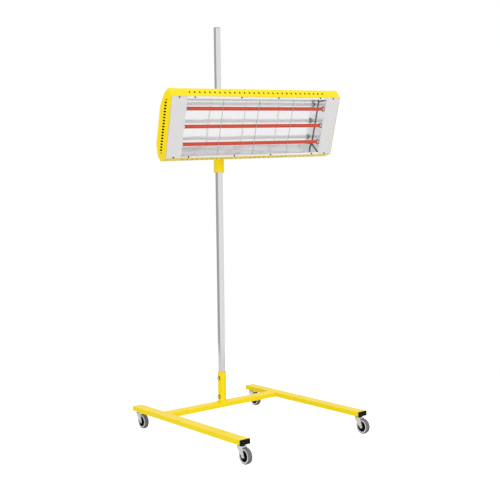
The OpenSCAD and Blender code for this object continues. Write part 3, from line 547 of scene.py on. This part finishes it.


# Case of the head: four skirts with punched vent slots and a folded back cover, all in sheet
# steel with the same yellow coat outside; the inside faces get a near-black painted shade. Pan-head screws
# hold the cover.
head_roll, head_tilt = math.radians(2.6), math.radians(20.5)
arm_reach, pivot_depth = 0.2535, 0.135
head_place = (swing @ Matrix.Translation((0, -arm_reach, arm_height))
              @ Matrix.Rotation(-head_roll, 4, "Y") @ Matrix.Rotation(head_tilt, 4, "X")
              @ Matrix.Translation((0, -pivot_depth, 0)))
to_head = head_place.inverted()
case_middle = Vector((0, 0.02, 0))
# Near-black painted shade for the inside faces of the case, which show through the vent slots
inside_painted_shade = grouped("case_inside_painted_shade", skin, (0.03, 0.028, 0.024), roughness=0.7, depth=0.00004,
                 Specular_IOR_Level=0.2,
                 values={"Drift Colour": (0.045, 0.042, 0.036), "Grain per Metre": 600.0})


def faces_inside(face):
    """1 for a face of the case whose front points to the middle of the head."""
    normal = to_head.to_3x3() @ face.normal
    inward = case_middle - to_head @ face.calc_center_median()
    axis = max(range(3), key=lambda k: abs(normal[k]))
    return int(normal[axis] * inward[axis] > 0)


for node in ("case_top", "case_bottom", "case_left_end", "case_right_end", "back_cover"):
    finished(node, node + "_sheet", yellow, inside_painted_shade, bevel=0.0003, pick=faces_inside)

# Welds that hold the bracket's lugs to its plate
back_y, lug_weld_y, lug_x, lug_half = 0.1, 0.103, 0.05, 0.014
lug_welds = [[head_place @ Vector((x, lug_weld_y, z)) for z in (-lug_half, lug_half)]
             for x in (-lug_x, lug_x)]
grown("bracket_weld_beads", "head", "yellow_paint", bead, yellow, {**weld, "Radius": 0.0016},
      *paths(*lug_welds))

# A cross-recessed pan-head screw on each point, standing along the point's facing attribute
screw, screw_in, screw_out = geometry_tree(
    "pan_head_screws", [("Head Radius", 0.0032), ("Head Height", 0.0019), ("Recess Width", 0.0008),
                        ("Shank Radius", 0.0016), ("Shank Length", 0.0073)])
head_r, head_h = screw_in.outputs["Head Radius"], screw_in.outputs["Head Height"]
shank_r = screw_in.outputs["Shank Radius"]
pan_top_share, recess_share, recess_rise_share, shank_tip_share = 0.72, 1.05, 0.95, 0.8
pan = add(screw, "GeometryNodeMeshCone", Vertices=20, Side_Segments=1, Radius_Bottom=head_r,
          Radius_Top=calc(screw, "MULTIPLY", head_r, pan_top_share), Depth=head_h)
recesses = []
for along, across in (("X", "Y"), ("Y", "X")):
    size = screw.nodes.new("ShaderNodeCombineXYZ")
    screw.links.new(calc(screw, "MULTIPLY", head_r, recess_share), size.inputs[along])
    screw.links.new(screw_in.outputs["Recess Width"], size.inputs[across])
    screw.links.new(head_h, size.inputs["Z"])
    block = add(screw, "GeometryNodeMeshCube", Size=size.outputs["Vector"])
    lift = screw.nodes.new("ShaderNodeCombineXYZ")
    screw.links.new(calc(screw, "MULTIPLY", head_h, recess_rise_share), lift.inputs["Z"])
    raised = add(screw, "GeometryNodeTransform", Translation=lift.outputs["Vector"])
    join(screw, block, raised, "Geometry")
    recesses.append(raised)
cut = add(screw, "GeometryNodeMeshBoolean", {"operation": "DIFFERENCE", "solver": "EXACT"})
join(screw, pan, cut, "Mesh 1")
for recess in recesses:
    join(screw, recess, cut, "Mesh 2")
shank = add(screw, "GeometryNodeMeshCone", Vertices=12, Side_Segments=1, Radius_Top=shank_r,
            Radius_Bottom=calc(screw, "MULTIPLY", shank_r, shank_tip_share),
            Depth=screw_in.outputs["Shank Length"])
drop = screw.nodes.new("ShaderNodeCombineXYZ")
screw.links.new(calc(screw, "MULTIPLY", screw_in.outputs["Shank Length"], -1.0), drop.inputs["Z"])
shank_low = add(screw, "GeometryNodeTransform", Translation=drop.outputs["Vector"])
join(screw, shank, shank_low, "Geometry")
whole = screw.nodes.new("GeometryNodeJoinGeometry")
join(screw, cut, whole, "Geometry")
join(screw, shank_low, whole, "Geometry")
facing = add(screw, "GeometryNodeInputNamedAttribute", {"data_type": "FLOAT_VECTOR"}, Name="facing")
stand = add(screw, "FunctionNodeAlignRotationToVector", {"axis": "Z"}, Vector=facing.outputs["Attribute"])
driven = add(screw, "GeometryNodeInstanceOnPoints", Instance=whole.outputs["Geometry"],
             Rotation=stand.outputs["Rotation"])
screw.links.new(screw_in.outputs["Geometry"], driven.inputs["Points"])
close_tree(screw, screw_in, screw_out, driven, smooth=False)

cover_screw_z, cover_screw_pitch, cover_screw_count = 0.096, 0.13, 7
cover_seats = [head_place @ Vector(((k - (cover_screw_count - 1) / 2) * cover_screw_pitch, back_y, z))
               for k in range(cover_screw_count) for z in (-cover_screw_z, cover_screw_z)]
cover_screw = {"Head Radius": 0.0036, "Head Height": 0.0022, "Recess Width": 0.0009,
               "Shank Radius": 0.0018, "Shank Length": 0.006}
rearward = head_place.to_3x3() @ Vector((0, 1, 0))
grown("back_cover_screws", "head", "zinc_steel", screw, zinc, cover_screw,
      cover_seats, facing=[rearward] * len(cover_seats))


# End panels: light grey painted steel plates close the spaces beside the reflector, over the lamp
# holders. Screws near their corners hold them to the case.
panel_grey = grouped("light_grey_enamel", skin, (0.73, 0.715, 0.72), roughness=0.42, depth=0.00004,
                     values={"Drift Colour": (0.71, 0.695, 0.70), "Grain per Metre": 700.0,
                             "Gloss Spread": 0.06})
for node in ("left_end_panel", "right_end_panel"):
    finished(node, node + "_sheet", panel_grey, bevel=0.0003)


# Reflector: polished aluminium sheet with its flanges folded outwards, slightly buckled, and an end
# plate at each side with a round hole for each lamp. A dark bead along the end plates' seams paints the
# shade in the gap there.
mirror_metal = grouped("polished_aluminium", streaks, (0.9, 0.9, 0.91), roughness=0.14, metallic=1.0,
                       depth=0.00003, values={"Drift Colour": (0.84, 0.84, 0.85),
                                              "Stretch": (3.0, 180.0, 180.0), "Gloss Spread": 0.08})
mirror_tree = mirror_metal.node_tree
buckles = noise(mirror_tree, mirror_tree.nodes["Texture Coordinate"].outputs["Object"], scale=9.0,
                detail=1.0)
buckling = add(mirror_tree, "ShaderNodeBump", Distance=0.0022, Height=buckles)
mirror_tree.links.new(buckling.outputs["Normal"], mirror_tree.nodes["Bump"].inputs["Normal"])
for node in ("reflector", "reflector_left_end", "reflector_right_end"):
    finished(node, node + "_sheet", mirror_metal, bevel=0)

# A dark bead on each end plate's seam: painted shade for the gap between plate and sheet
seam_painted_shade = grouped("dark_seam_painted_shade", skin, (0.1, 0.1, 0.105), roughness=0.6, depth=0.0001,
                  values={"Drift Colour": (0.15, 0.15, 0.15), "Grain per Metre": 800.0})
seam_x, seam_front_y, seam_back_y, seam_front_z, seam_back_z = 0.3945, 0.004, 0.0625, 0.1355, 0.1108
seam_corners = ((seam_front_y, seam_front_z), (seam_back_y, seam_back_z),
                (seam_back_y, -seam_back_z), (seam_front_y, -seam_front_z))
seams = [[head_place @ Vector((x, y, z)) for y, z in seam_corners] for x in (-seam_x, seam_x)]
grown("reflector_seam_beads", "head", "grey_plastic", bead, seam_painted_shade,
      {"Radius": 0.0014, "Ripple Pitch": 0.008, "Ripple Depth": 0.12}, *paths(*seams))


# Lamps: quartz tubes with a ruby coat in front and a white one at the back, with a weak painted glow that
# brightens its reflections in the reflector.
# Each end of the glass meets a ceramic end, held in a block behind the end plate, and a dark ring there
# paints the shade in the end plate's hole.
ceramic = grouped("glazed_ceramic", skin, (0.78, 0.74, 0.64), roughness=0.5, depth=0.00004,
                  values={"Drift Colour": (0.72, 0.68, 0.58), "Grain per Metre": 1100.0})
# The emission strength sets the painted glow of the white back coat
ruby = grouped("ruby_quartz", skin, (0.66, 0.07, 0.03), roughness=0.34, depth=0.00002, Coat_Weight=0.15,
               Coat_Roughness=0.1, Specular_IOR_Level=0.3, Emission_Strength=0.22,
               values={"Drift Colour": (0.6, 0.062, 0.027), "Grain per Metre": 200.0})
coat_depth, coat_white = 0.0168, (0.93, 0.92, 0.9, 1)
ruby_tree = ruby.node_tree
depth_row = to_head[1]
depth_turned = calc(ruby_tree, "DOT_PRODUCT", ruby_tree.nodes["Texture Coordinate"].outputs["Object"],
                    Vector(depth_row[:3]), kind="ShaderNodeVectorMath")
white_coat_and_painted_glow = calc(ruby_tree, "GREATER_THAN", calc(ruby_tree, "ADD", depth_turned, depth_row[3]), coat_depth)
coated = blend_colours(ruby_tree, white_coat_and_painted_glow, ruby_tree.nodes["Group"].outputs["Colour"], coat_white)
ruby_tree.links.new(coated, ruby_tree.nodes["Principled BSDF"].inputs["Base Color"])
# The white back coat glows: painted light, not a lit lamp
ruby_tree.links.new(white_coat_and_painted_glow, ruby_tree.nodes["Principled BSDF"].inputs["Emission Color"])
for level_name in ("top", "middle", "bottom"):
    finished("lamp_" + level_name, level_name + "_lamp_tube", ruby, bevel=0)
finished("lamp_end_caps", "lamp_ceramic_ends", ceramic, bevel=0.0004)
lamp_pitch, lamp_depth, lamp_radius, glass_end_x = 0.086, 0.017, 0.009, 0.387
# Dark rings at the ends of the glass: painted shade in the holes of the end plates
lamp_end_shade_rings = [ring(count=24, point_at=lambda t: head_place @ Vector((x, lamp_depth + lamp_radius * math.sin(t),
                                                                 z + lamp_radius * math.cos(t))))
          for x in (-glass_end_x, glass_end_x) for z in (-lamp_pitch, 0, lamp_pitch)]
grown("lamp_end_painted_shade_rings", "head", "dark_steel", bead, dark_steel,
      {"Radius": 0.0009, "Ripple Pitch": 0.006, "Ripple Depth": 0.0}, *paths(*lamp_end_shade_rings))
finished("lamp_holders", "lamp_holder_blocks", ceramic)


# Guard wires and screws in front: three steel wires sprung into the reflector, and small dark
# screws along its flanges and at the panels' corners.
wire_steel = grouped("plain_steel_wire", streaks, (0.55, 0.545, 0.54), roughness=0.3, metallic=1.0,
                     depth=0.00001, values={"Drift Colour": (0.42, 0.42, 0.42),
                                            "Stretch": (900.0, 900.0, 30.0)})
finished("guard_wires", "lamp_guard_wires", wire_steel, bevel=0)
screw_z, screw_xs = 0.144, (-0.43675, -0.3564, -0.10494, 0.10494, 0.3564, 0.43675)
front_seats = [head_place @ Vector((x, 0, z)) for x in screw_xs for z in (-screw_z, screw_z)]
front_screws = grown("front_panel_screws", "head", "dark_steel", screw, dark_steel,
                     {"Head Radius": 0.0042, "Head Height": 0.0024, "Recess Width": 0.0011}, front_seats,
                     facing=[-rearward] * len(front_seats))
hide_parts("front_screws")


# Back fittings, all moulded in plastic: a cable gland and a rocker switch sit in holes of the back
# cover, and a terminal block is fixed inside it.
red_plastic = grouped("red_gloss_plastic", skin, (0.5, 0.012, 0.01), roughness=0.25, depth=0.00002,
                      values={"Drift Colour": (0.45, 0.01, 0.009), "Grain per Metre": 600.0})
finished("terminal_block", "supply_terminal_block", nylon, bevel=0.0005)
finished("cable_gland", "supply_cable_gland", black_plastic)
finished("switch_housing", "switch_bezel", black_plastic)
finished("switch_rocker", "switch_rocker_key", red_plastic, bevel=0.0004)
